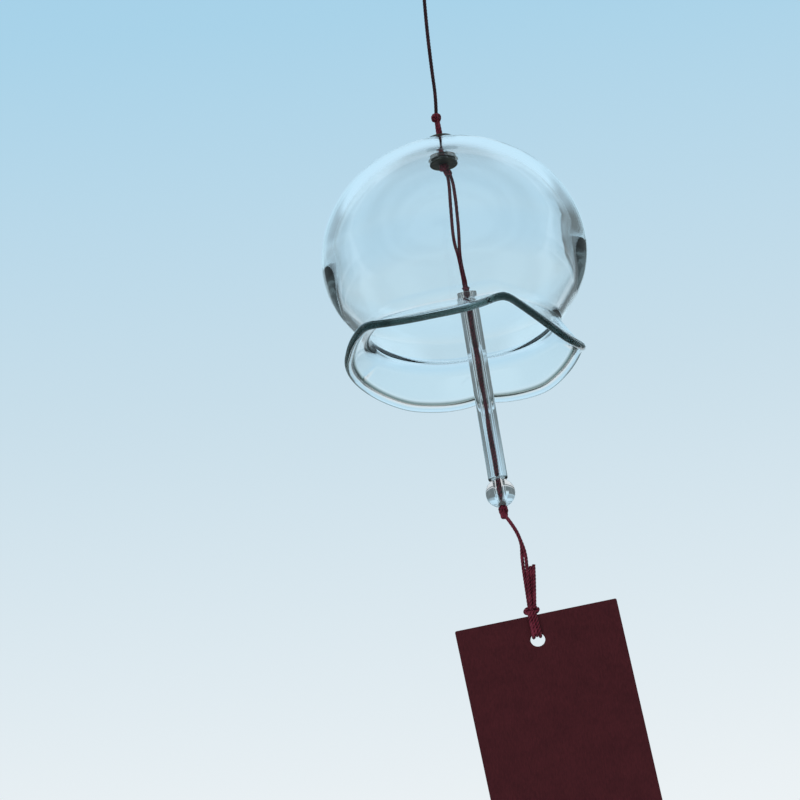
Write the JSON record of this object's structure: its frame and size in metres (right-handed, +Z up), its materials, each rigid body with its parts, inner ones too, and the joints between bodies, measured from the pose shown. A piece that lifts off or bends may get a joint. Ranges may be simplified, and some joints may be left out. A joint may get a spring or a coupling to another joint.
{
  "type": "glass wind bell",
  "caption": "Glass wind bell with a flared wavy lip, hung on a knotted cord, with a glass tube clapper, a bead and a card wind strip below.",
  "frame": {"origin": "where the hanging loop bears on its hook, on the bell's axis", "axes": "+Z up along the axis of the glass bell, +X along the width of the wind strip to the right, +Y away from the front"},
  "size_m": [0.0894, 0.08, 0.3811],
  "materials": {
    "bell_glass": "clear blown glass, thick and slightly uneven",
    "tube_glass": "clear drawn glass tube with melted ends",
    "bead_glass": "clear glass bead",
    "washer_metal": "tarnished, satin",
    "cord": "waxed twisted cord, dark wine red",
    "strip_card": "matt stiff card, dark red"
  },
  "bodies": {
    "hanging_loop": {"hanging_loop": "cord"},
    "loop_knot": {"loop_knot": "cord"},
    "hanging_cord": {"hanging_cord": "cord"},
    "upper_knot": {"upper_knot": "cord"},
    "crown": {"crown_cord": "cord", "top_washer": "washer_metal", "inner_washer": "washer_metal", "crown_knot": "cord"},
    "bell": {"glass_bell": "bell_glass"},
    "clapper_knot": {"clapper_knot": "cord"},
    "clapper": {"clapper_cord": "cord", "stop_knot": "cord", "tube_cord": "cord", "bead_knot": "cord"},
    "bead": {"glass_bead": "bead_glass"},
    "tube": {"glass_tube": "tube_glass"},
    "tail_knot": {"tail_knot": "cord"},
    "lower_cord": {"lower_cord": "cord", "cord_tails": "cord"},
    "tie_knot": {"tie_knot": "cord"},
    "strip": {"tie_loop": "cord", "tanzaku": "strip_card"}
  },
  "joints": [
    {"name": "cord_swing_sideways", "type": "hinge", "parent": "hanging_loop", "child": "loop_knot", "pos_m": [0, 0, -0.022], "axis": [0, 1, 0], "range_deg": [-45, 45]},
    {"name": "cord_swing_fore_aft", "type": "hinge", "parent": "loop_knot", "child": "hanging_cord", "pos_m": [0, 0, -0.022], "axis": [1, 0, 0], "range_deg": [-45, 45]},
    {"name": "bell_swing_sideways", "type": "hinge", "parent": "hanging_cord", "child": "upper_knot", "pos_m": [0, 0, -0.0663], "axis": [0, 1, 0], "range_deg": [-30, 30]},
    {"name": "bell_swing_fore_aft", "type": "hinge", "parent": "upper_knot", "child": "crown", "pos_m": [0, 0, -0.0663], "axis": [1, 0, 0], "range_deg": [-30, 30]},
    {"name": "bell_turn", "type": "hinge", "parent": "crown", "child": "bell", "pos_m": [0, 0, -0.0746], "axis": [0, 0, 1], "continuous": true},
    {"name": "clapper_swing_sideways", "type": "hinge", "parent": "crown", "child": "clapper_knot", "pos_m": [0.0005, 0, -0.08445], "axis": [0, 1, 0], "range_deg": [-11.3, 16.7]},
    {"name": "clapper_swing_fore_aft", "type": "hinge", "parent": "clapper_knot", "child": "clapper", "pos_m": [0.0005, 0, -0.08445], "axis": [1, 0, 0], "range_deg": [-14, 14]},
    {"name": "bead_lift", "type": "slide", "parent": "clapper", "child": "bead", "axis": [-0.0471, 0, 0.9989], "range_m": [0, 0.0016]},
    {"name": "tube_turn", "type": "hinge", "parent": "bead", "child": "tube", "pos_m": [0.0005, 0, -0.08445], "axis": [-0.0471, 0, 0.9989], "continuous": true},
    {"name": "tail_swing_sideways", "type": "hinge", "parent": "clapper", "child": "tail_knot", "pos_m": [0.0058, 0, -0.19681], "axis": [0, 1, 0], "range_deg": [-31, 49]},
    {"name": "tail_swing_fore_aft", "type": "hinge", "parent": "tail_knot", "child": "lower_cord", "pos_m": [0.0058, 0, -0.19681], "axis": [1, 0, 0], "range_deg": [-40, 40]},
    {"name": "strip_turn", "type": "hinge", "parent": "lower_cord", "child": "tie_knot", "pos_m": [0.01045, 0, -0.22721], "axis": [0, 0, 1], "continuous": true},
    {"name": "strip_tilt", "type": "hinge", "parent": "tie_knot", "child": "strip", "pos_m": [0.01045, 0, -0.22721], "axis": [0.9956, 0, 0.0941], "range_deg": [-45, 45]}
  ]
}
